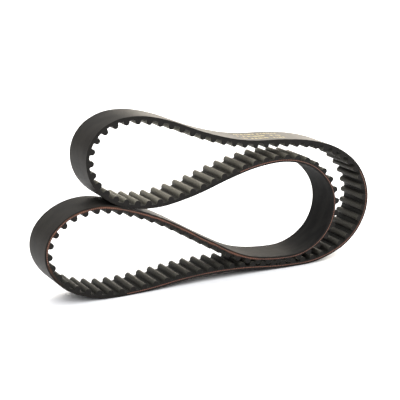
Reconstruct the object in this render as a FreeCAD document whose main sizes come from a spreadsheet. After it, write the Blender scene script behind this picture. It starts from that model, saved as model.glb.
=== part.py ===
"""Timing belt lying folded on its side, in millimetres.

The belt is an endless strip of four bonded layers. From its smooth back to its teeth they are the
backing rubber, the tension cord, the tooth rubber and the tooth facing. It stands on its edge-wise
width: the loop is drawn in the XZ plane, and the width runs along Y. The belt is folded into a C, with
a lower and an upper loop at the left and two nested bends at the right. All the teeth are on the inside
of the closed loop. Each layer is cut at the middle of lands into named stretches, so that the stretches
can be carried by bodies that flex against each other.

+Z is up, the origin is under the middle of the belt's box, and the back rests on Z = 0.
"""
import FreeCAD, Part
import math
import os

DIMENSIONS = {
    "belt_width": 25.0,
    "tooth_pitch": 8.0,
    "tooth_width": 3.9,          # between the straight flanks
    "tooth_height": 3.05,        # from the land to the tip
    "root_radius": 0.8,
    "cord_to_back": 1.45,        # cord centre line to the smooth back
    "cord_to_land": 0.75,        # cord centre line to the land between two teeth
    "cord_layer": 0.85,          # room that the cord takes between the two rubbers
    "cord_diameter": 0.8,
    "cord_spacing": 1.32,        # between the centres of neighbouring turns of the cord
    "cord_turns": 18,
    "facing_thickness": 0.2,
    "tooth_phase": 5.0,          # from the start of the path to the first middle of a land
    "flex_gap": 0.3,             # between stretches that belong to different bodies
}

# The path of the cord's centre line, round the loop with the teeth on the left: each span is an arc,
# given as the teeth that it holds and the degrees that it turns to the left. The last three turns are
# corrected until the path closes on itself.
SPANS = [
    (4, 7.5), (9, -14.5), (4, 6.5), (4, 27),                            # along the floor
    (3, 36), (3, 42.5), (3, 33), (3, 23), (3, 11.5), (3, 5.5),          # round the outer bend
    (4, -13.5), (4, -8), (3, 11), (2, 15),                              # back along the top
    (2, 27.5), (3, 61), (2, 34.5), (3, 36.5), (4, 27),                  # round the upper loop
    (4, 10), (3, -4.5), (3, -12), (3, -23), (3, -32.5),                 # over the inner bend
    (3, -45), (3, -46), (3, -36), (3, -10), (3, -19), (5, -2),          # and down into the fold
    (4, 9), (3, 10), (3, 32.5), (2, 27), (3, 66), (3, 40.5), (4, 26),   # round the lower loop
]

# Named stretches in path order: the teeth in each, and the body that carries it.
FIRST_TOOTH = 7
STRETCHES = [
    ("floor_strand", 15, "base"),
    ("outer_bend", 8, "bend"),
    ("top_strand", 11, "upper_arm"),
    ("top_strand_end", 9, "upper_end"),
    ("upper_loop", 15, "upper_end"),
    ("upper_inner_end", 10, "upper_end"),
    ("inner_bend_crown", 9, "upper_arm"),
    ("inner_bend", 4, "bend"),
    ("lower_inner_strand", 13, "base"),
    ("lower_inner_end", 7, "base"),
    ("lower_loop", 12, "base"),
    ("floor_end", 11, "base"),
]

doc = FreeCAD.newDocument("timing_belt")
sheet = doc.addObject("Spreadsheet::Sheet", "Dimensions")
for row, (alias, value) in enumerate(DIMENSIONS.items(), start=1):
    sheet.set(f"A{row}", alias)
    sheet.set(f"B{row}", str(value))
    sheet.setAlias(f"B{row}", alias)
doc.recompute()


def size(alias):
    """Value of a driving dimension, read back from the sheet."""
    return float(sheet.get(alias))


# ---------------------------------------------------------------- the path of the cord's centre line

def lay_path(turns):
    """Chain of tangent arcs: (start length, x, z, heading, curvature) of each span, and of the end."""
    length, x, z, heading = 0.0, 0.0, 0.0, 0.0
    chain = []
    for (teeth, _), turn in zip(SPANS, turns):
        span = teeth * size("tooth_pitch")
        curvature = math.radians(turn) / span
        chain.append((length, x, z, heading, curvature))
        x += (math.sin(heading + curvature * span) - math.sin(heading)) / curvature
        z -= (math.cos(heading + curvature * span) - math.cos(heading)) / curvature
        heading += curvature * span
        length += span
    return chain, (length, x, z, heading)


def solve_three(rows, right):
    """Solve three linear equations by Cramer's rule."""
    def det(m):
        return (m[0][0] * (m[1][1] * m[2][2] - m[1][2] * m[2][1])
                - m[0][1] * (m[1][0] * m[2][2] - m[1][2] * m[2][0])
                + m[0][2] * (m[1][0] * m[2][1] - m[1][1] * m[2][0]))

    whole = det(rows)
    answers = []
    for column in range(3):
        swapped = [row[:column] + [value] + row[column + 1:] for row, value in zip(rows, right)]
        answers.append(det(swapped) / whole)
    return answers


def close_path():
    """Correct the last three turns by Newton's method until the path ends where it starts."""
    turns = [float(turn) for _, turn in SPANS]
    nudge = 1e-4
    for _ in range(8):
        _, (_, x, z, heading) = lay_path(turns)
        columns = []
        for back in (3, 2, 1):
            trial = list(turns)
            trial[-back] += nudge
            _, (_, trial_x, trial_z, trial_heading) = lay_path(trial)
            columns.append([(trial_x - x) / nudge, (trial_z - z) / nudge,
                            (trial_heading - heading) / nudge])
        rows = [[column[line] for column in columns] for line in range(3)]
        steps = solve_three(rows, [-x, -z, 2 * math.pi - heading])
        for back, step in zip((3, 2, 1), steps):
            turns[-back] += step
    return turns


chain, (loop_length, _, _, _) = lay_path(close_path())
starts = [span[0] for span in chain]


def span_at(length):
    """Number of the span that holds a length along the path."""
    return max(number for number, start in enumerate(starts) if start <= length + 1e-9)


def place(length, offset):
    """Point at a length along the path, moved by offset to the tooth side, before centring."""
    length %= loop_length
    start, x, z, heading, curvature = chain[span_at(length)]
    turned = heading + curvature * (length - start)
    x += (math.sin(turned) - math.sin(heading)) / curvature
    z -= (math.cos(turned) - math.cos(heading)) / curvature
    return x - offset * math.sin(turned), z + offset * math.cos(turned), turned


STEP = 0.25
outside = [place(STEP * number, -size("cord_to_back")) for number in range(int(loop_length / STEP))]
CENTRE_X = (min(point[0] for point in outside) + max(point[0] for point in outside)) / 2
FLOOR_Z = min(point[1] for point in outside)


def at(length, offset):
    """Sketch point at a length along the path, moved by offset to the tooth side."""
    x, z, _ = place(length, offset)
    return FreeCAD.Vector(x - CENTRE_X, z - FLOOR_Z, 0)


def smooth_line(start, end, offset):
    """Arcs that follow the path from one length to another at an offset."""
    stops = [start, end]
    for lap in (0, loop_length):
        stops += [joint + lap for joint in starts if start + 1e-6 < joint + lap < end - 1e-6]
    stops.sort()
    return [Part.Arc(at(a, offset), at((a + b) / 2, offset), at(b, offset))
            for a, b in zip(stops, stops[1:])]


# ------------------------------------------------------------------------------------- the tooth side

def tooth_corners(middle, skin):
    """Points of one tooth, root to root, with a skin of this thickness taken off it."""
    flank = size("tooth_width") / 2 - skin
    fillet = size("root_radius") + skin
    land = size("cord_to_land") - skin
    fillet_top = land + fillet
    tip_centre = size("cord_to_land") + size("tooth_height") - size("tooth_width") / 2
    bulge = 1 - math.sqrt(0.5)
    along = at(middle + 1, 0) - at(middle - 1, 0)
    along.normalize()
    inward = FreeCAD.Vector(-along.y, along.x, 0)
    root = at(middle, 0)
    corners = []
    for side in (-1, 1):
        foot = at(middle + side * (flank + fillet), land)
        crease = at(middle + side * flank, land)
        top = root + along * side * flank + inward * fillet_top
        rounded = crease + (foot - crease + top - crease) * bulge
        shoulder = root + along * side * flank + inward * tip_centre
        corners.append([foot, rounded, top, shoulder])
    tip = root + inward * (tip_centre + flank)
    return corners[0] + [tip] + corners[1][::-1]


def toothed_line(start, end, skin):
    """Lands and teeth from one length to another, with a skin of this thickness taken off them."""
    pitch = size("tooth_pitch")
    land = size("cord_to_land") - skin
    first = round((start - size("tooth_phase")) / pitch)
    last = round((end - size("tooth_phase")) / pitch)
    edges = []
    here = at(start, land)
    for number in range(first, last):
        middle_of_land = size("tooth_phase") + number * pitch
        corners = tooth_corners(middle_of_land + pitch / 2, skin)
        if number == first:
            edges.append(Part.LineSegment(here, corners[0]))
        else:
            edges.append(Part.Arc(here, at(middle_of_land, land), corners[0]))
        edges.append(Part.Arc(corners[0], corners[1], corners[2]))
        edges.append(Part.LineSegment(corners[2], corners[3]))
        edges.append(Part.Arc(corners[3], corners[4], corners[5]))
        edges.append(Part.LineSegment(corners[5], corners[6]))
        edges.append(Part.Arc(corners[6], corners[7], corners[8]))
        here = corners[8]
    edges.append(Part.LineSegment(here, at(end, land)))
    return edges


# ----------------------------------------------------------------------------------------- the layers

def origin_plane(body, role):
    """One of a body's own origin planes."""
    return next(feature for feature in body.Origin.OriginFeatures if feature.Role == role)


def padded_strip(label, one_side, other_side):
    """Body with the strip between two lines, padded over the belt's width."""
    body = doc.addObject("PartDesign::Body", label)
    body.Label = label
    sketch = body.newObject("Sketcher::SketchObject", f"{label}_outline")
    sketch.AttachmentSupport = [(origin_plane(body, "XZ_Plane"), "")]
    sketch.MapMode = "FlatFace"
    start_cap = Part.LineSegment(one_side[0].StartPoint, other_side[0].StartPoint)
    end_cap = Part.LineSegment(one_side[-1].EndPoint, other_side[-1].EndPoint)
    sketch.addGeometry(one_side + other_side + [start_cap, end_cap], False)
    pad = body.newObject("PartDesign::Pad", f"{label}_pad")
    pad.Profile = sketch
    pad.SideType = "Symmetric"
    pad.setExpression("Length", "Dimensions.belt_width")
    body.Tip = pad
    return body


def backing(name, start, end):
    """Smooth rubber between the cord and the back."""
    inner = smooth_line(start, end, -size("cord_layer") / 2)
    outer = smooth_line(start, end, -size("cord_to_back"))
    return padded_strip(f"{name}_backing", inner, outer)


def tooth_rubber(name, start, end):
    """Web under the cord, with the teeth in one piece with it."""
    web = smooth_line(start, end, size("cord_layer") / 2)
    teeth = toothed_line(start, end, size("facing_thickness"))
    return padded_strip(f"{name}_teeth", web, teeth)


def tooth_facing(name, start, end):
    """Fabric bonded over the teeth and the lands."""
    bonded = toothed_line(start, end, size("facing_thickness"))
    worn = toothed_line(start, end, 0)
    return padded_strip(f"{name}_facing", bonded, worn)


def tension_cord(name, start, end):
    """Turns of the wound cord along one stretch, each moved across by its share of the helix."""
    spacing = size("cord_spacing")
    turns = int(size("cord_turns"))
    lap = ((start + end) / 2 % loop_length) / loop_length
    first_y = -spacing * turns / 2 + spacing * lap
    upright = FreeCAD.Rotation(FreeCAD.Vector(1, 0, 0), 90)
    route = Part.Wire([edge.toShape() for edge in smooth_line(start, end, 0)])
    route.Placement = FreeCAD.Placement(FreeCAD.Vector(0, first_y, 0), upright)
    begin = route.OrderedVertexes[0].Point
    heading = route.OrderedEdges[0].tangentAt(route.OrderedEdges[0].FirstParameter)
    section = Part.Face(Part.Wire(Part.makeCircle(size("cord_diameter") / 2, begin, heading)))
    strand = route.makePipe(section)
    strands = []
    for turn in range(turns):
        copy = strand.copy()
        copy.translate(FreeCAD.Vector(0, turn * spacing, 0))
        strands.append(copy)
    feature = doc.addObject("Part::Feature", f"{name}_cord")
    feature.Label = f"{name}_cord"
    feature.Shape = Part.makeCompound(strands)
    feature.Placement = FreeCAD.Placement()
    full = math.pi * size("cord_diameter") ** 2 / 4 * (end - start)
    print(f"{name}_cord: strand volume {strand.Volume:.2f}, section times length {full:.2f}")
    return feature


LAYERS = (backing, tension_cord, tooth_rubber, tooth_facing)


# ------------------------------------------------------------------------------ stretches, then export

nodes = []
cuts = {}
tooth = FIRST_TOOTH
for index, (name, teeth, carrier) in enumerate(STRETCHES):
    start = size("tooth_phase") + tooth * size("tooth_pitch")
    tooth += teeth
    end = size("tooth_phase") + tooth * size("tooth_pitch")
    cuts[name] = start
    if STRETCHES[index - 1][2] != carrier:
        start += size("flex_gap") / 2
    if STRETCHES[(index + 1) % len(STRETCHES)][2] != carrier:
        end -= size("flex_gap") / 2
    nodes += [layer(name, start, end) for layer in LAYERS]

doc.recompute()
for thing in doc.Objects:
    bad = [state for state in thing.State if state in ("Invalid", "Error")]
    if bad:
        raise RuntimeError(f"{thing.Name} failed: {bad}")
for node in nodes:
    if node.Shape.isNull() or not node.Shape.isValid():
        raise RuntimeError(f"{node.Label} has no valid shape")

os.makedirs("parts", exist_ok=True)
for node in nodes:
    node.Shape.exportStep(f"parts/{node.Label}.step")

# The hinges lie on the smooth back, where the outer side of the C is cut.
for stretch in ("outer_bend", "top_strand", "top_strand_end"):
    pivot = at(cuts[stretch], -size("cord_to_back"))
    print(f"hinge at the start of {stretch}: x {pivot.x:.3f}, z {pivot.y:.3f}")
print(f"{len(nodes)} nodes, pitch length {loop_length:.1f}, {tooth - FIRST_TOOTH} teeth")
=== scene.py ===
import math

import bmesh
import bpy
import numpy as np
from mathutils import Matrix, Vector


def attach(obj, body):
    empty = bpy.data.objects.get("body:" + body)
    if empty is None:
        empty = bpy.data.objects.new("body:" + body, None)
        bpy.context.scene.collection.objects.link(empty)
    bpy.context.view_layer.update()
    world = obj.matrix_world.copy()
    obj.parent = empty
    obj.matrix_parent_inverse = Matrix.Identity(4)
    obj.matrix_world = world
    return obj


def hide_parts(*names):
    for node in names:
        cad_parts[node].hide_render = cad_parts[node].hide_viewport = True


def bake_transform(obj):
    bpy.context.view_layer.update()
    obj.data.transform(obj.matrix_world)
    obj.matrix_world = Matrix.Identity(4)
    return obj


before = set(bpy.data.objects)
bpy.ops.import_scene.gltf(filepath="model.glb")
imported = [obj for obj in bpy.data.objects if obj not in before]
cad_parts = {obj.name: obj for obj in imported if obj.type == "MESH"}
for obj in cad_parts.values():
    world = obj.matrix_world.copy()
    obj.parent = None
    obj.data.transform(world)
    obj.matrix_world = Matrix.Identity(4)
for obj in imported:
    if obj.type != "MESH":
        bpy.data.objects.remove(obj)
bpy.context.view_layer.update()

# ------------------------------------------------------------------------------------------- Backing
# The back of the belt: a millimetre of black chloroprene rubber, moulded over the cord in one sleeve,
# vulcanised, and then ground smooth. The sleeve is slit into belts, so its two edges are plain cuts.
MM = 0.001
PITCH = 8.0 * MM
FIRST_LAND = 5.0 * MM        # from the start of the path to the first middle of a land
BELT_WIDTH = 25.0 * MM
BACK = -1.45 * MM            # heights are from the cord's centre line towards the teeth
EDGE_WEAR = 0.14 * MM        # the sharp arris that the slitting leaves, worn off

# The folded loop, as arcs of whole teeth and the degrees that each turns to the left. The turns were
# fitted to the shape of a real belt by a least-squares program and rounded to half degrees. The last
# three are corrected here until the loop closes.
LOOP = [
    (4, 7.5), (9, -14.5), (4, 6.5), (4, 27),                            # along the floor
    (3, 36), (3, 42.5), (3, 33), (3, 23), (3, 11.5), (3, 5.5),          # round the outer bend
    (4, -13.5), (4, -8), (3, 11), (2, 15),                              # back along the top
    (2, 27.5), (3, 61), (2, 34.5), (3, 36.5), (4, 27),                  # round the upper loop
    (4, 10), (3, -4.5), (3, -12), (3, -23), (3, -32.5),                 # over the inner bend
    (3, -45), (3, -46), (3, -36), (3, -10), (3, -19), (5, -2),          # and down into the fold
    (4, 9), (3, 10), (3, 32.5), (2, 27), (3, 66), (3, 40.5), (4, 26),   # round the lower loop
]
LOOP_LENGTH = PITCH * sum(teeth for teeth, _ in LOOP)

# The belt in the order of its path, from where the fold holds it: the teeth in each stretch, the body
# that carries it or the two that it bends between, and the stretches of the frame that it stands for.
STRETCHES = [
    ("lower_run", 51, ["base"],
     ["lower_inner_strand", "lower_inner_end", "lower_loop", "floor_end", "floor_strand"]),
    ("outer_lower_flex", 6, ["base", "bend"], ["floor_strand", "outer_bend"]),
    ("outer_bend_middle", 2, ["bend"], ["outer_bend"]),
    ("outer_upper_flex", 6, ["bend", "upper_arm"], ["outer_bend", "top_strand"]),
    ("top_run", 5, ["upper_arm"], ["top_strand"]),
    ("top_flex", 6, ["upper_arm", "upper_end"], ["top_strand", "top_strand_end"]),
    ("upper_loop_run", 28, ["upper_end"], ["top_strand_end", "upper_loop", "upper_inner_end"]),
    ("inner_top_flex", 6, ["upper_end", "upper_arm"], ["upper_inner_end", "inner_bend_crown"]),
    ("inner_crown", 3, ["upper_arm"], ["inner_bend_crown"]),
    ("inner_upper_flex", 5, ["upper_arm", "bend"], ["inner_bend_crown", "inner_bend"]),
    ("inner_lower_flex", 6, ["bend", "base"], ["inner_bend", "lower_inner_strand"]),
]
TEETH_BEFORE_FIRST = 92      # from the start of the path to the first stretch
FIRST_STRETCH = FIRST_LAND + TEETH_BEFORE_FIRST * PITCH
PATH_STEP = 0.5 * MM


def walk_loop(turns, step):
    """Points along the loop a step apart, and how far its end misses its start, in x, z and heading."""
    x, z, heading = 0.0, 0.0, 0.0
    points = []
    for (teeth, _), turn in zip(LOOP, turns):
        span = teeth * PITCH
        bend = math.radians(turn) / span
        for length in np.arange(0.0, span - step / 2, step):
            turned = heading + bend * length
            points.append((x + (math.sin(turned) - math.sin(heading)) / bend,
                           z - (math.cos(turned) - math.cos(heading)) / bend, turned))
        turned = heading + bend * span
        x += (math.sin(turned) - math.sin(heading)) / bend
        z -= (math.cos(turned) - math.cos(heading)) / bend
        heading = turned
    return points, np.array([x, z, heading - 2 * math.pi])


def close_loop():
    """Correct the last three turns until the loop closes."""
    turns = np.array([turn for _, turn in LOOP], float)
    tries, nudge = 8, 0.001
    for _ in range(tries):
        _, miss = walk_loop(turns, PITCH)
        slopes = []
        for last in (-3, -2, -1):
            nudged = turns.copy()
            nudged[last] += nudge
            slopes.append((walk_loop(nudged, PITCH)[1] - miss) / nudge)
        turns[-3:] -= np.linalg.solve(np.array(slopes).T, miss)
    return turns


def belt_path():
    """Closed curve through the cord's centre line, centred and standing on the floor by the belt's back."""
    points, _ = walk_loop(close_loop(), PATH_STEP)
    backs = [(x - BACK * math.sin(turned), z + BACK * math.cos(turned)) for x, z, turned in points]
    middle = (min(x for x, _ in backs) + max(x for x, _ in backs)) / 2
    floor_level = min(z for _, z in backs)
    curve = bpy.data.curves.new("belt_path", "CURVE")
    curve.dimensions = "3D"
    spline = curve.splines.new("POLY")
    spline.points.add(len(points) - 1)
    for point, (x, z, _) in zip(spline.points, points):
        point.co = (x - middle, 0, z - floor_level, 1)
    spline.use_cyclic_u = True
    path = bpy.data.objects.new("belt_path", curve)
    bpy.context.scene.collection.objects.link(path)
    return path


path = belt_path()


def lay(tree, kind, feeds=None, **settings):
    """Add a node with these settings, its inputs fed by numbers or by other nodes' outputs."""
    added = tree.nodes.new(kind)
    for setting, value in settings.items():
        setattr(added, setting, value)
    for socket, value in (feeds or {}).items():
        if isinstance(value, bpy.types.NodeSocket):
            tree.links.new(value, added.inputs[socket])
        else:
            added.inputs[socket].default_value = value
    return added


def sums(tree, operation, *feeds):
    """Output of a Math node."""
    return lay(tree, "ShaderNodeMath", dict(enumerate(feeds)), operation=operation).outputs[0]


WELD = 0.002 * MM            # pitches closer than this are joined
DIVE = 2.5 * PITCH           # length over which a bare turn of cord sinks back into the rubber


def layer_on_path():
    """Tree that repeats one flat pitch of a layer and bends the row round the belt's path."""
    tree = bpy.data.node_groups.new("layer_on_belt_path", "GeometryNodeTree")
    for name, kind in (("Pitch of layer", "Geometry"), ("Path", "Object"), ("Start", "Float"),
                       ("Teeth", "Int"), ("Pitch", "Float"), ("Loop length", "Float"),
                       ("Cord lead", "Float"), ("Start sinks", "Float"), ("End sinks", "Float"),
                       ("Finish", "Material")):
        tree.interface.new_socket(name, in_out="INPUT", socket_type=f"NodeSocket{kind}")
    tree.interface.new_socket("Belt layer", in_out="OUTPUT", socket_type="NodeSocketGeometry")
    given = lay(tree, "NodeGroupInput").outputs

    start = lay(tree, "ShaderNodeCombineXYZ", {"X": given["Start"]}).outputs[0]
    stride = lay(tree, "ShaderNodeCombineXYZ", {"X": given["Pitch"]}).outputs[0]
    row = lay(tree, "GeometryNodeMeshLine", {"Count": given["Teeth"], "Start Location": start,
                                             "Offset": stride}, mode="OFFSET")
    pitches = lay(tree, "GeometryNodeInstanceOnPoints", {"Points": row.outputs[0],
                                                         "Instance": given["Pitch of layer"]})
    flat = lay(tree, "GeometryNodeRealizeInstances", {0: pitches.outputs[0]})
    welded = lay(tree, "GeometryNodeMergeByDistance", {"Geometry": flat.outputs[0], "Distance": WELD})

    place = lay(tree, "GeometryNodeInputPosition").outputs[0]
    laid = lay(tree, "ShaderNodeSeparateXYZ", {0: place}).outputs
    along_and_across = lay(tree, "ShaderNodeCombineXYZ", {"X": laid["X"], "Y": laid["Y"]}).outputs[0]
    mapped = lay(tree, "GeometryNodeStoreNamedAttribute",
                 {"Geometry": welded.outputs[0], "Name": "UVMap", "Value": along_and_across},
                 data_type="FLOAT2", domain="CORNER")

    # A tooth keeps its shape where the belt bends: its points are carried by the middle of its root.
    stiff = lay(tree, "GeometryNodeInputNamedAttribute", {"Name": "stiff"}, data_type="FLOAT").outputs[0]
    travelled = sums(tree, "SUBTRACT", laid["X"], given["Start"])
    tooth_number = sums(tree, "FLOOR", sums(tree, "DIVIDE", travelled, given["Pitch"]))
    root = sums(tree, "ADD", sums(tree, "MULTIPLY", sums(tree, "ADD", tooth_number, 0.5),
                                  given["Pitch"]), given["Start"])
    ahead = sums(tree, "MULTIPLY", sums(tree, "SUBTRACT", laid["X"], root), stiff)
    sampled = sums(tree, "FLOORED_MODULO", sums(tree, "SUBTRACT", laid["X"], ahead),
                   given["Loop length"])
    curve = lay(tree, "GeometryNodeObjectInfo", {"Object": given["Path"]}).outputs["Geometry"]
    spot = lay(tree, "GeometryNodeSampleCurve", {"Curves": curve, "Length": sampled},
               mode="LENGTH", use_all_curves=True)
    heading = lay(tree, "ShaderNodeSeparateXYZ", {0: spot.outputs["Tangent"]}).outputs
    inward = lay(tree, "ShaderNodeCombineXYZ", {"X": sums(tree, "MULTIPLY", heading["Z"], -1.0),
                                                "Z": heading["X"]}).outputs[0]
    rise = lay(tree, "ShaderNodeVectorMath", {0: inward, "Scale": laid["Z"]}, operation="SCALE")
    push = lay(tree, "ShaderNodeVectorMath", {0: spot.outputs["Tangent"], "Scale": ahead},
               operation="SCALE")

    # The wound cord drifts across the belt by its lead in one lap, and dives in where it leaves an edge.
    lap = sums(tree, "DIVIDE", sums(tree, "SUBTRACT", laid["X"], FIRST_STRETCH), given["Loop length"])
    drift = sums(tree, "MULTIPLY", lap, given["Cord lead"])
    row_length = sums(tree, "MULTIPLY", given["Teeth"], given["Pitch"])
    dive_in = lay(tree, "ShaderNodeMapRange",
                  {"Value": travelled, "From Min": 0.0, "From Max": DIVE,
                   "To Min": given["Start sinks"], "To Max": 0.0}, interpolation_type="SMOOTHSTEP")
    dive_out = lay(tree, "ShaderNodeMapRange",
                   {"Value": sums(tree, "SUBTRACT", row_length, travelled), "From Min": 0.0,
                    "From Max": DIVE, "To Min": given["End sinks"], "To Max": 0.0},
                   interpolation_type="SMOOTHSTEP")
    across = sums(tree, "ADD", sums(tree, "ADD", laid["Y"], drift),
                  sums(tree, "ADD", dive_in.outputs[0], dive_out.outputs[0]))
    aside = lay(tree, "ShaderNodeCombineXYZ", {"Y": across}).outputs[0]
    moved = spot.outputs["Position"]
    for part in (rise.outputs[0], push.outputs[0], aside):
        moved = lay(tree, "ShaderNodeVectorMath", {0: moved, 1: part}, operation="ADD").outputs[0]
    bent = lay(tree, "GeometryNodeSetPosition", {"Geometry": mapped.outputs[0], "Position": moved})
    finished = lay(tree, "GeometryNodeSetMaterial", {"Geometry": bent.outputs[0],
                                                     "Material": given["Finish"]})
    lay(tree, "NodeGroupOutput", {0: finished.outputs[0]})
    return tree


on_belt_path = layer_on_path()


def flat_pitch(name, under, over, wear_under=0.0, wear_over=0.0):
    """One pitch of a layer laid flat, open at both ends, between an under and an over line of points
    (along, height, stiff), with the arrises of its two cut edges worn by these amounts."""
    half = BELT_WIDTH / 2
    vertices, heights, stiffs = [], [], []
    for low, high in zip(under, over):
        corners = [(low, -half, wear_under), (high, -half, -wear_over)]
        if wear_over:
            corners += [(high, -half + wear_over, 0), (high, half - wear_over, 0)]
        corners += [(high, half, -wear_over), (low, half, wear_under)]
        if wear_under:
            corners += [(low, half - wear_under, 0), (low, -half + wear_under, 0)]
        for (along, height, stiff), across, lift in corners:
            vertices.append((along, across, height + lift))
            heights.append((height + lift) / MM)
            stiffs.append(stiff)
    ring = len(vertices) // len(under)
    faces = []
    for station in range(len(under) - 1):
        for corner in range(ring):
            here, following = station * ring, (station + 1) * ring
            beside = (corner + 1) % ring
            faces.append((here + corner, following + corner, following + beside, here + beside))
    return unit_mesh(name, vertices, faces, heights, stiffs)


def unit_mesh(name, vertices, faces, heights, stiffs):
    """Mesh of one pitch, with the height and the stiffness of each point kept on it."""
    mesh = bpy.data.meshes.new(name)
    mesh.from_pydata(vertices, [], faces)
    for attribute, values in (("height", heights), ("stiff", stiffs)):
        mesh.attributes.new(attribute, "FLOAT", "POINT").data.foreach_set("value", values)
    return mesh


def wrap_row(unit, start, teeth, finish, lead=0.0, start_sinks=0.0, end_sinks=0.0):
    """Plain mesh of a row of pitches bent round the path, with its ends closed."""
    row = bpy.data.objects.new("row", unit)
    bpy.context.scene.collection.objects.link(row)
    modifier = row.modifiers.new("layer", "NODES")
    modifier.node_group = on_belt_path
    sizes = {"Path": path, "Start": start, "Teeth": teeth, "Pitch": PITCH, "Loop length": LOOP_LENGTH,
             "Cord lead": lead, "Start sinks": start_sinks, "End sinks": end_sinks, "Finish": finish}
    for item in on_belt_path.interface.items_tree:
        if item.name in sizes and item.in_out == "INPUT":
            modifier[item.identifier] = sizes[item.name]
    bpy.context.view_layer.update()
    depsgraph = bpy.context.evaluated_depsgraph_get()
    plain = bpy.data.meshes.new_from_object(row.evaluated_get(depsgraph))
    bpy.data.objects.remove(row)
    shell = bmesh.new()
    shell.from_mesh(plain)
    open_ends = [edge for edge in shell.edges if edge.is_boundary]
    bmesh.ops.holes_fill(shell, edges=open_ends, sides=0)
    shell.to_mesh(plain)
    shell.free()
    return plain


def belt_piece(name, mesh, stretch, layer, sharp=35.0):
    """Object of one layer of one stretch, which stands for its nodes: it hides them, and is attached to its
    body when it has one, or left unattached with its transform baked.
    """
    label, teeth, bodies, frame_stretches = stretch
    mesh.name = name
    mesh.shade_smooth()
    mesh.set_sharp_from_angle(angle=math.radians(sharp))
    piece = bpy.data.objects.new(name, mesh)
    bpy.context.scene.collection.objects.link(piece)
    if len(bodies) == 1:
        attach(piece, bodies[0])
    else:
        first = stretch_start(label)
        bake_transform(piece)
    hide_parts(*[f"{stretch_name}_{layer}" for stretch_name in frame_stretches])


def stretch_start(label):
    """Length along the path where a stretch starts."""
    passed = FIRST_STRETCH
    for name, teeth, _, _ in STRETCHES:
        if name == label:
            return passed
        passed += teeth * PITCH


def finish_tree(name):
    """New material with only a Principled surface: the material, its tree and that node."""
    finish = bpy.data.materials.new(name)
    finish.use_nodes = True
    return finish, finish.node_tree, finish.node_tree.nodes["Principled BSDF"]


def belt_measures(tree):
    """Millimetres along and across the belt, for patterns that follow it."""
    chart = lay(tree, "ShaderNodeUVMap", uv_map="UVMap").outputs[0]
    scaled = lay(tree, "ShaderNodeVectorMath", {0: chart, "Scale": 1000.0}, operation="SCALE")
    split = lay(tree, "ShaderNodeSeparateXYZ", {0: scaled.outputs[0]}).outputs
    return split["X"], split["Y"]


def streaks(tree, along, across, fine_along, fine_across, detail=3.0):
    """Noise drawn out along the belt, from this many grains per millimetre each way."""
    drawn = lay(tree, "ShaderNodeCombineXYZ", {"X": sums(tree, "MULTIPLY", along, fine_along),
                                               "Y": sums(tree, "MULTIPLY", across, fine_across)})
    return lay(tree, "ShaderNodeTexNoise", {"Vector": drawn.outputs[0], "Scale": 1.0,
                                            "Detail": detail}).outputs[0]


def between(tree, amount, low, high):
    """Colour between two colours by an amount from 0 to 1."""
    mixed = lay(tree, "ShaderNodeMix", {"Factor": amount}, data_type="RGBA")
    for socket, colour in ((6, low), (7, high)):
        if isinstance(colour, bpy.types.NodeSocket):
            tree.links.new(colour, mixed.inputs[socket])
        else:
            mixed.inputs[socket].default_value = (*colour, 1.0)
    return mixed.outputs[2]


def ramp(tree, value, low, high, out_low=0.0, out_high=1.0):
    """Value taken smoothly from one range to another, and held at its ends."""
    return lay(tree, "ShaderNodeMapRange",
               {"Value": value, "From Min": low, "From Max": high, "To Min": out_low,
                "To Max": out_high}, interpolation_type="SMOOTHSTEP").outputs[0]


# Places in the finishes are millimetres along the loop, across the belt, or above the cord.
EDGE_FROM = 12.44             # across, from the middle of the belt
STAINED = (735.0, 760.0, 925.0, 955.0)       # brown of the cord: comes in, is full, fades, ends
PRINT = (1286.0, 1321.0)
PRINT_HALF_WIDTH = 9.0
ROW_SPACING = 6.0
ROW_OFFSET = 15.0             # keeps the count of rows positive
MOULD_JOINT = 1321.5
# Inside the fold the back is darkened as painted shade, and made rougher.
INNER_FOLD = (770.0, 815.0, 1585.0, 1640.0)  # its dull back: full, fades, comes in, is full again
JOINT_HALF_WIDTH = 0.55


def cut_edge(tree, across):
    """1 on the two slit edges of the belt, 0 elsewhere."""
    return sums(tree, "GREATER_THAN", sums(tree, "ABSOLUTE", across), EDGE_FROM)


def height_above_cord(tree):
    """Millimetres above the cord, kept on the points of the mesh."""
    return lay(tree, "ShaderNodeAttribute", attribute_name="height").outputs["Fac"]


def roughen(tree, surface, height, strength, distance):
    """Fine relief of this height on a surface."""
    relief = lay(tree, "ShaderNodeBump", {"Height": height, "Strength": strength,
                                          "Distance": distance})
    tree.links.new(relief.outputs[0], surface.inputs["Normal"])


def edge_stain(tree, along):
    """Brown rubbed off the cord on the slit edge, on both sides of it, in patches."""
    height = height_above_cord(tree)
    near_cord = ramp(tree, sums(tree, "ABSOLUTE", height), 1.1, 0.35)
    patches = ramp(tree, streaks(tree, along, height, 0.09, 0.5), 0.38, 0.62)
    comes_in, full, fades, ends = STAINED
    rubbed = sums(tree, "MULTIPLY", ramp(tree, along, comes_in, full), ramp(tree, along, ends, fades))
    return sums(tree, "MULTIPLY", sums(tree, "MULTIPLY", near_cord, patches), rubbed)


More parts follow.
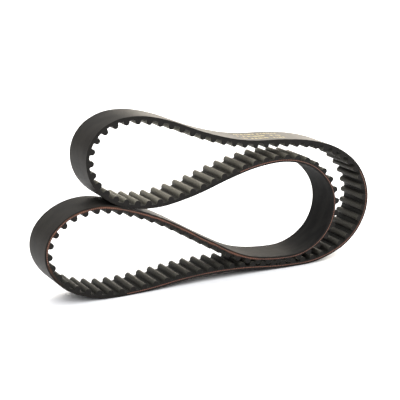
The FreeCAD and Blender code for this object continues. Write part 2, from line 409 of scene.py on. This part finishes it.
def back_finish():
    """Ground back: dark grey-brown rubber with fine lines along the belt, dust, a faint worn print in
    three rows of plain marks, and the thin dark line of a mould joint across it."""
    finish, tree, surface = finish_tree("ground_back_rubber")
    along, across = belt_measures(tree)
    lines = streaks(tree, along, across, 0.25, 5.0, 4.0)
    clouds = streaks(tree, along, across, 0.07, 0.16)
    bloom = ramp(tree, clouds, 0.35, 0.7)
    ground = between(tree, bloom, (0.016, 0.0150, 0.0138), (0.025, 0.0230, 0.0205))
    ground = between(tree, ramp(tree, lines, 0.35, 0.75), ground, (0.031, 0.0282, 0.0245))

    # Print: small bars of uneven length, in three rows, rubbed thin.
    from_first = sums(tree, "ADD", across, ROW_OFFSET)
    row_place = sums(tree, "FLOORED_MODULO", from_first, ROW_SPACING)
    in_row = sums(tree, "MULTIPLY", ramp(tree, row_place, 1.6, 1.9), ramp(tree, row_place, 4.4, 4.1))
    rows = sums(tree, "LESS_THAN", sums(tree, "ABSOLUTE", across), PRINT_HALF_WIDTH)
    row_number = sums(tree, "FLOOR", sums(tree, "DIVIDE", from_first, ROW_SPACING))
    cells = lay(tree, "ShaderNodeCombineXYZ", {"X": sums(tree, "MULTIPLY", along, 0.9),
                                               "Y": sums(tree, "MULTIPLY", row_number, 7.3)})
    bars = lay(tree, "ShaderNodeTexNoise", {"Vector": cells.outputs[0], "Scale": 1.0, "Detail": 0.0})
    marks = ramp(tree, bars.outputs[0], 0.46, 0.5)
    begins, ends = PRINT
    span = sums(tree, "MULTIPLY", ramp(tree, along, begins, begins + 1.0),
                ramp(tree, along, ends, ends - 1.0))
    rubbed = ramp(tree, streaks(tree, along, across, 0.8, 2.2), 0.3, 0.6)
    ink = sums(tree, "MULTIPLY", sums(tree, "MULTIPLY", in_row, rows),
               sums(tree, "MULTIPLY", sums(tree, "MULTIPLY", marks, span), rubbed))
    ground = between(tree, ink, ground, (0.34, 0.28, 0.11))
    from_joint = sums(tree, "ABSOLUTE", sums(tree, "SUBTRACT", along, MOULD_JOINT))
    joint_line = sums(tree, "LESS_THAN", from_joint, JOINT_HALF_WIDTH)
    ground = between(tree, joint_line, ground, (0.003, 0.003, 0.003))

    # Painted shade inside the fold: the back there is coloured blacker, and made rougher.
    full, fades, comes_in, full_again = INNER_FOLD
    inner_fold = sums(tree, "MAXIMUM", ramp(tree, along, comes_in, full_again),
                      ramp(tree, along, fades, full))
    fold_shade_colour = between(tree, bloom, (0.008, 0.0077, 0.0075), (0.014, 0.0132, 0.0122))
    ground = between(tree, inner_fold, ground, fold_shade_colour)

    # Slit edge: blacker and dull, with fine saw lines and brown rubbed off the cord.
    edge = cut_edge(tree, across)
    height = height_above_cord(tree)
    saw = streaks(tree, along, height, 1.2, 4.0)
    slit = between(tree, saw, (0.008, 0.0075, 0.007), (0.021, 0.0195, 0.018))
    slit = between(tree, edge_stain(tree, along), slit, (0.10, 0.045, 0.026))
    tree.links.new(between(tree, edge, ground, slit), surface.inputs["Base Color"])

    dull = sums(tree, "MAXIMUM", edge, inner_fold)
    shine = sums(tree, "ADD", ramp(tree, lines, 0.3, 0.8, 0.46, 0.58),
                 sums(tree, "MULTIPLY", dull, 0.22))
    tree.links.new(shine, surface.inputs["Roughness"])
    surface.inputs["Specular IOR Level"].default_value = 0.06
    scored = sums(tree, "ADD", lines, sums(tree, "MULTIPLY", saw, edge))
    roughen(tree, surface, scored, 0.25, 0.12 * MM)
    return finish


back_rubber = back_finish()
STEPS = 16
back_line = [(PITCH * step / STEPS, BACK, 0.0) for step in range(STEPS + 1)]
cord_line = [(PITCH * step / STEPS, 0.0, 0.0) for step in range(STEPS + 1)]
backing_pitch = flat_pitch("backing_pitch", back_line, cord_line, wear_under=EDGE_WEAR)
for stretch in STRETCHES:
    backing = wrap_row(backing_pitch, stretch_start(stretch[0]), stretch[1], back_rubber)
    belt_piece(f"{stretch[0]}_backing", backing, stretch, "backing")

# -------------------------------------------------------------------------------------- Tooth rubber
# The teeth and the web that joins them: black rubber pressed through the cord into the mould's grooves,
# in one piece. Its two slit edges show it between the cord and the fabric, as the dark tooth outlines.
LAND = 0.75 * MM
FABRIC = 0.2 * MM
TOOTH_HALF = 1.95 * MM
TOOTH_HEIGHT = 3.05 * MM
ROOT_RADIUS = 0.8 * MM


def tooth_line(skin):
    """Line over one pitch, from the middle of a land over the tooth to the middle of the next, with a
    skin of this thickness taken off it. The tooth's own points are stiff, and the land's are not."""
    flank = TOOTH_HALF - skin
    root = ROOT_RADIUS + skin
    land = LAND - skin
    crown = LAND + TOOTH_HEIGHT - TOOTH_HALF
    half = [(-PITCH / 2 * (1 - share) - (flank + root) * share, land, 0.0) for share in (0, 0.5, 1)]
    for turn in (22.5, 45, 67.5, 90):
        angle = math.radians(turn)
        half.append((-flank - root + root * math.sin(angle), land + root - root * math.cos(angle), 1.0))
    for turn in (0, 15, 30, 45, 60, 75):
        angle = math.radians(turn)
        half.append((-flank * math.cos(angle), crown + flank * math.sin(angle), 1.0))
    tip = [(0.0, crown + flank, 1.0)]
    mirrored = [(-along, height, stiff) for along, height, stiff in reversed(half)]
    return [(along + PITCH / 2, height, stiff) for along, height, stiff in half + tip + mirrored]


def tooth_finish():
    """Slit rubber: near black and dull, finely torn, with brown rubbed off the cord next to it."""
    finish, tree, surface = finish_tree("slit_tooth_rubber")
    along, across = belt_measures(tree)
    height = height_above_cord(tree)
    torn = streaks(tree, along, height, 2.6, 2.6, 5.0)
    black = between(tree, ramp(tree, torn, 0.3, 0.75), (0.007, 0.0066, 0.0062), (0.020, 0.0185, 0.017))
    black = between(tree, edge_stain(tree, along), black, (0.09, 0.041, 0.024))
    tree.links.new(black, surface.inputs["Base Color"])
    tree.links.new(ramp(tree, torn, 0.3, 0.7, 0.6, 0.8), surface.inputs["Roughness"])
    surface.inputs["Specular IOR Level"].default_value = 0.1
    roughen(tree, surface, torn, 0.3, 0.1 * MM)
    return finish


slit_rubber = tooth_finish()
bonded_line = tooth_line(FABRIC)
web_line = [(along, 0.0, 0.0) for along, _, _ in bonded_line]
teeth_pitch = flat_pitch("teeth_pitch", web_line, bonded_line)
for stretch in STRETCHES:
    teeth = wrap_row(teeth_pitch, stretch_start(stretch[0]), stretch[1], slit_rubber)
    belt_piece(f"{stretch[0]}_teeth", teeth, stretch, "teeth", sharp=50.0)

# -------------------------------------------------------------------------------------- Tooth facing
# The wearing face of the teeth: a stretch nylon fabric, soaked in rubber and moulded on with the teeth.
# Its threads run over the teeth and lands; the tips are paler, partly from wear and partly as painted
# highlight.
WEAVE = 0.85                  # millimetres between the threads that run along the belt
CROSS_WEAVE = 0.62            # and between those that cross them
# The painted shade on the teeth of the floor strand and the outer bend fades out over this stretch.
TOOTH_SHADE_FADES = (1240.0, 1340.0)         # millimetres along the loop, where the teeth turn paler


def facing_finish():
    """Olive-grey nylon cloth: threads along the belt crossed by finer ones; tips paler, partly wear and
    partly painted highlight; painted shade in the gaps and on the teeth of the floor and outer bend."""
    finish, tree, surface = finish_tree("tooth_facing_fabric")
    along, across = belt_measures(tree)
    height = height_above_cord(tree)
    wobble = sums(tree, "MULTIPLY", streaks(tree, along, across, 0.5, 0.5), 0.5)
    cord_wave = sums(tree, "SINE", sums(tree, "MULTIPLY", sums(tree, "ADD", across, wobble),
                                        2 * math.pi / WEAVE))
    travelled = sums(tree, "ADD", along, height)
    cross_wave = sums(tree, "SINE", sums(tree, "MULTIPLY", travelled, 2 * math.pi / CROSS_WEAVE))
    threads = ramp(tree, sums(tree, "ADD", cord_wave, sums(tree, "MULTIPLY", cross_wave, 0.45)),
                   -1.4, 1.4)
    fuzz = streaks(tree, along, across, 1.5, 1.5, 4.0)
    cloth = between(tree, threads, (0.011, 0.0107, 0.0088), (0.155, 0.146, 0.117))
    # Tooth tips paler: partly wear, partly painted highlight.
    worn_and_highlit = sums(tree, "MULTIPLY", ramp(tree, height, 1.4, 3.6), ramp(tree, fuzz, 0.3, 0.65, 0.4, 1.0))
    cloth = between(tree, sums(tree, "MULTIPLY", worn_and_highlit, 0.6), cloth, (0.30, 0.281, 0.226))
    # Painted shade: the gaps between the teeth are darkened.
    painted_gap_shade = ramp(tree, height, 1.7, 0.7)
    cloth = between(tree, sums(tree, "MULTIPLY", painted_gap_shade, 0.65), cloth, (0.007, 0.007, 0.006))
    # Painted shade: the teeth along the floor and round the outer bend are darkened.
    out_of_painted_shade = ramp(tree, along, *TOOTH_SHADE_FADES, 0.22, 1.0)
    cloth = between(tree, out_of_painted_shade, (0.007, 0.007, 0.006), cloth)
    edge = cut_edge(tree, across)
    cloth = between(tree, edge, cloth, (0.014, 0.013, 0.011))
    tree.links.new(cloth, surface.inputs["Base Color"])
    tree.links.new(ramp(tree, threads, 0.0, 1.0, 0.74, 0.40), surface.inputs["Roughness"])
    surface.inputs["Specular IOR Level"].default_value = 0.16
    woven = sums(tree, "ADD", threads, sums(tree, "MULTIPLY", fuzz, 0.4))
    roughen(tree, surface, woven, 1.0, 0.28 * MM)
    return finish


facing_fabric = facing_finish()
facing_pitch = flat_pitch("facing_pitch", bonded_line, tooth_line(0.0), wear_over=EDGE_WEAR)
for stretch in STRETCHES:
    facing = wrap_row(facing_pitch, stretch_start(stretch[0]), stretch[1], facing_fabric)
    belt_piece(f"{stretch[0]}_facing", facing, stretch, "facing", sharp=50.0)

# -------------------------------------------------------------------------------------- Tension cord
# One glass cord of twisted yarns in reddish-brown dip, wound round and round under the teeth, about 18
# turns side by side. The slitting knife lays its outermost turn bare over part of each edge.
CORD_RADIUS = 0.4 * MM
CORD_SPACING = 1.32 * MM
CORD_TURNS = 18
BARE_RADIUS = 0.27 * MM       # what the knife has left of the bare turn
BARE_INSET = 0.04 * MM        # its centre, in from the slit edge
BARE_PROUD = 0.09 * MM        # and how far it stands out
BARE_SINK = 0.7 * MM          # how deep it dives where the rubber covers it again
LOBE_DEPTH = 0.16             # of a twisted cord's radius
YARN_LAY = 1.33               # millimetres along the cord from one yarn to the next


def cord_pitch(name, centres, thickness, sides, steps, lobes, twists):
    """One pitch of parallel cords: round, or with this many yarn lobes twisting this many turns."""
    vertices, faces = [], []
    limit = BELT_WIDTH / 2 + BARE_PROUD
    for centre in centres:
        first = len(vertices)
        for step in range(steps + 1):
            for side in range(sides):
                angle = 2 * math.pi * side / sides
                lobe = math.cos(lobes * (angle + 2 * math.pi * twists * step / steps / max(lobes, 1)))
                radius = thickness * (1 + (LOBE_DEPTH * lobe if lobes else 0))
                across = centre + radius * math.cos(angle)
                across = min(max(across, -limit), limit)
                vertices.append((PITCH * step / steps, across, radius * math.sin(angle)))
        for step in range(steps):
            for side in range(sides):
                here, following = first + step * sides, first + (step + 1) * sides
                beside = (side + 1) % sides
                faces.append((here + side, here + beside, following + beside, following + side))
    return unit_mesh(name, vertices, faces, [0.0] * len(vertices), [0.0] * len(vertices))


def cord_finish():
    """Reddish-brown dipped glass: pale and dark yarns that wind round each other, dusty where cut."""
    finish, tree, surface = finish_tree("dipped_glass_cord")
    along, across = belt_measures(tree)
    spot = lay(tree, "ShaderNodeTexCoord").outputs["Object"]
    grain = lay(tree, "ShaderNodeTexNoise", {"Vector": spot, "Scale": 900.0, "Detail": 3.0}).outputs[0]
    yarn = sums(tree, "SINE", sums(tree, "ADD", sums(tree, "MULTIPLY", along, 2 * math.pi / YARN_LAY),
                                   sums(tree, "MULTIPLY", across, 7.0)))
    wound = ramp(tree, sums(tree, "ADD", yarn, sums(tree, "MULTIPLY", grain, 1.4)), -0.4, 1.9)
    dip = between(tree, wound, (0.045, 0.018, 0.012), (0.22, 0.084, 0.050))
    faded = ramp(tree, streaks(tree, along, across, 0.06, 0.3), 0.4, 0.65)
    dip = between(tree, sums(tree, "MULTIPLY", faded, 0.45), dip, (0.050, 0.028, 0.020))
    tree.links.new(dip, surface.inputs["Base Color"])
    tree.links.new(ramp(tree, grain, 0.3, 0.7, 0.5, 0.75), surface.inputs["Roughness"])
    roughen(tree, surface, wound, 0.5, 0.1 * MM)
    return finish


dipped_cord = cord_finish()
first_turn = -CORD_SPACING * CORD_TURNS / 2
turns_pitch = cord_pitch("wound_turns_pitch", [first_turn + CORD_SPACING * turn
                                               for turn in range(CORD_TURNS)],
                         CORD_RADIUS, sides=6, steps=4, lobes=0, twists=0)
bare_centre = BELT_WIDTH / 2 - BARE_INSET
near_bare_pitch = cord_pitch("near_bare_pitch", [-bare_centre], BARE_RADIUS,
                             sides=12, steps=24, lobes=3, twists=6)
far_bare_pitch = cord_pitch("far_bare_pitch", [bare_centre], BARE_RADIUS,
                            sides=12, steps=24, lobes=3, twists=6)

# Where the cord is bare: the stretch, the teeth passed before it, the teeth that it lasts, and whether
# it comes out of the rubber at its start and goes back at its end.
NEAR_BARE = [
    ("lower_run", 0, 26, False, True), ("lower_run", 30, 21, True, False),
    ("outer_lower_flex", 0, 6, False, False), ("outer_bend_middle", 0, 2, False, False),
    ("outer_upper_flex", 0, 3, False, True),
    ("upper_loop_run", 26, 2, True, False), ("inner_top_flex", 0, 6, False, False),
    ("inner_crown", 0, 3, False, False), ("inner_upper_flex", 0, 5, False, False),
    ("inner_lower_flex", 0, 6, False, False),
]
FAR_BARE = [
    ("lower_run", 0, 51, False, False), ("outer_lower_flex", 0, 4, False, True),
    ("upper_loop_run", 15, 13, True, False), ("inner_top_flex", 0, 6, False, False),
    ("inner_crown", 0, 3, False, False), ("inner_upper_flex", 0, 5, False, False),
    ("inner_lower_flex", 0, 6, False, False),
]
for stretch in STRETCHES:
    label, teeth = stretch[:2]
    start = stretch_start(label)
    cords = [wrap_row(turns_pitch, start, teeth, dipped_cord, lead=CORD_SPACING)]
    for inward, bare_pitch, bare in ((1, near_bare_pitch, NEAR_BARE), (-1, far_bare_pitch, FAR_BARE)):
        for bare_label, passed, lasts, comes_out, goes_in in bare:
            if bare_label == label:
                sink = inward * BARE_SINK
                cords.append(wrap_row(bare_pitch, start + passed * PITCH, lasts, dipped_cord,
                                      start_sinks=sink * comes_out, end_sinks=sink * goes_in))
    bundle = bmesh.new()
    for cord in cords:
        bundle.from_mesh(cord)
    bundle.to_mesh(cords[0])
    bundle.free()
    belt_piece(f"{label}_cord", cords[0], stretch, "cord", sharp=70.0)
bpy.data.objects.remove(path)

# ---------------------------------------------------------------------------- Floor, light and camera
# A plain white table under pale surroundings and three soft square panels: warm ones to the right and
# behind it, and a weaker white one in front. None of it belongs to the belt.
table_mesh = bpy.data.meshes.new("white_table")
reach = 6.0
table_mesh.from_pydata([(-reach, -reach, 0), (reach, -reach, 0), (reach, reach, 0), (-reach, reach, 0)],
                       [], [(0, 1, 2, 3)])
white_table = bpy.data.objects.new("white_table", table_mesh)
bpy.context.scene.collection.objects.link(white_table)
table_finish, table_tree, table_surface = finish_tree("white_card")
table_surface.inputs["Base Color"].default_value = (0.93, 0.94, 0.96, 1.0)
table_surface.inputs["Roughness"].default_value = 0.85
table_mesh.materials.append(table_finish)

surroundings = bpy.data.worlds.new("pale_surroundings")
surroundings.use_nodes = True
sky = surroundings.node_tree
direction = lay(sky, "ShaderNodeTexCoord").outputs["Generated"]
height_in_sky = lay(sky, "ShaderNodeSeparateXYZ", {0: direction}).outputs["Z"]
glow = ramp(sky, height_in_sky, 0.10, 0.85, 0.20, 2.1)
sky.nodes["Background"].inputs["Color"].default_value = (1.0, 1.0, 1.0, 1.0)
sky.links.new(glow, sky.nodes["Background"].inputs["Strength"])
bpy.context.scene.world = surroundings


def light_panel(name, place, aim, size, power, tint):
    """Square soft light at a place, turned towards a point."""
    panel = bpy.data.lights.new(name, "AREA")
    panel.size = size
    panel.color = tint
    panel.energy = power
    holder = bpy.data.objects.new(name, panel)
    holder.location = place
    holder.rotation_euler = (Vector(aim) - Vector(place)).to_track_quat("-Z", "Y").to_euler()
    bpy.context.scene.collection.objects.link(holder)


PANEL = 0.8
light_panel("panel_right", (1.35, 0.7, 0.55), (0.0, 0.0, 0.06), PANEL, 18.0, (1.0, 0.93, 0.83))
light_panel("panel_behind", (0.98, 1.08, 0.52), (0.0, 0.0, 0.06), PANEL, 15.0, (1.0, 0.91, 0.78))
light_panel("panel_front", (-0.5, -0.9, 0.9), (0.0, 0.0, 0.05), PANEL, 6.0, (1.0, 1.0, 1.0))

camera_data = bpy.data.cameras.new("camera")
camera_data.sensor_width = 36.0
camera_data.lens = 111.1      # with the place and angles below, solved by a program
camera_data.clip_start = 0.01
camera = bpy.data.objects.new("camera", camera_data)
camera_place = (-0.38315, -0.66791, 0.27108)
azimuth, elevation, roll = math.radians(-29.44), math.radians(15.95), math.radians(0.87)
back = Vector((math.sin(azimuth) * math.cos(elevation), -math.cos(azimuth) * math.cos(elevation),
               math.sin(elevation)))
right = (-back).cross(Vector((0, 0, 1))).normalized()
upward = back.cross(right)
tilted_right = right * math.cos(roll) + upward * math.sin(roll)
tilted_up = upward * math.cos(roll) - right * math.sin(roll)
turned = Matrix((tilted_right, tilted_up, back)).transposed().to_4x4()
camera.matrix_world = Matrix.Translation(camera_place) @ turned
bpy.context.scene.collection.objects.link(camera)
bpy.context.scene.camera = camera
bpy.context.scene.view_settings.view_transform = "Standard"
